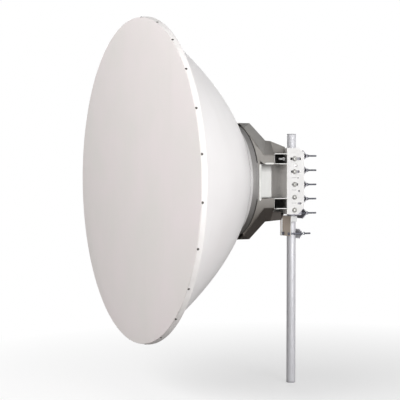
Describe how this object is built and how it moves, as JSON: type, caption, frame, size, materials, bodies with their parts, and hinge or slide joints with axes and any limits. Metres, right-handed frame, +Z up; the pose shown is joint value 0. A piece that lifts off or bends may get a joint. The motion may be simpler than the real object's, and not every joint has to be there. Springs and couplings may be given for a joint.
{
  "type": "parabolic dish antenna",
  "caption": "Deep parabolic dish antenna with a flat radome, on a folded steel bracket clamped to a round pole, with tilt and swivel adjustment.",
  "frame": {"origin": "centre of the pole's foot face", "axes": "+Z up along the pole, -Y the way the dish looks, +X to the dish's left as it looks out"},
  "size_m": [1.81, 1.124, 2.108],
  "materials": {
    "galvanised": "dull hot-dip galvanised",
    "bright_zinc": "bright zinc",
    "bolt_steel": "zinc plated",
    "pole_steel": "smooth galvanised",
    "housing_metal": "pale satin",
    "plug_plastic": "matt",
    "white_paint": "satin white paint on spun sheet",
    "rim_paint": "satin paint",
    "radome_skin": "matt off-white sheet"
  },
  "bodies": {
    "pole": {"pole": "pole_steel", "pole_cap": "plug_plastic", "pole_foot_plug": "plug_plastic", "collar_plate": "galvanised", "collar_bar": "galvanised", "collar_stud_left": "bolt_steel", "collar_stud_right": "bolt_steel"},
    "clamp": {"carriage_side_left": "galvanised", "carriage_side_right": "galvanised", "pole_saddle_1": "galvanised", "pole_saddle_2": "galvanised", "pole_saddle_3": "galvanised", "clamp_bar_1": "galvanised", "clamp_bar_2": "galvanised", "clamp_bar_3": "galvanised", "clamp_bar_4": "galvanised", "clamp_bar_5": "galvanised", "clamp_stud_1_left": "bolt_steel", "clamp_stud_1_right": "bolt_steel", "clamp_stud_2_left": "bolt_steel", "clamp_stud_2_right": "bolt_steel", "clamp_stud_3_left": "bolt_steel", "clamp_stud_3_right": "bolt_steel", "clamp_stud_4_left": "bolt_steel", "clamp_stud_4_right": "bolt_steel", "clamp_stud_5_left": "bolt_steel", "clamp_stud_5_right": "bolt_steel", "pivot_bolt": "bolt_steel", "slot_bolt_1": "bolt_steel", "slot_bolt_2": "bolt_steel", "slot_bolt_3": "bolt_steel", "slot_bolt_4": "bolt_steel"},
    "dish": {"mount_bracket": "bright_zinc", "upper_channel": "bright_zinc", "lower_channel": "bright_zinc", "elevation_screw": "bolt_steel", "side_plate_left": "galvanised", "side_plate_right": "galvanised", "upper_cap": "galvanised", "lower_cap": "galvanised", "feed_housing": "housing_metal", "hub_drum": "galvanised", "reflector": "white_paint", "rim_band": "rim_paint", "radome": "radome_skin"}
  },
  "joints": [
    {"name": "azimuth_swivel", "type": "hinge", "parent": "pole", "child": "clamp", "pos_m": [0, 0, 1.203], "axis": [0, 0, 1], "range_deg": [-8, 8]},
    {"name": "elevation_tilt", "type": "hinge", "parent": "clamp", "child": "dish", "pos_m": [0, -0.035, 1.0285], "axis": [1, 0, 0], "range_deg": [-4.5, 4.5]}
  ]
}
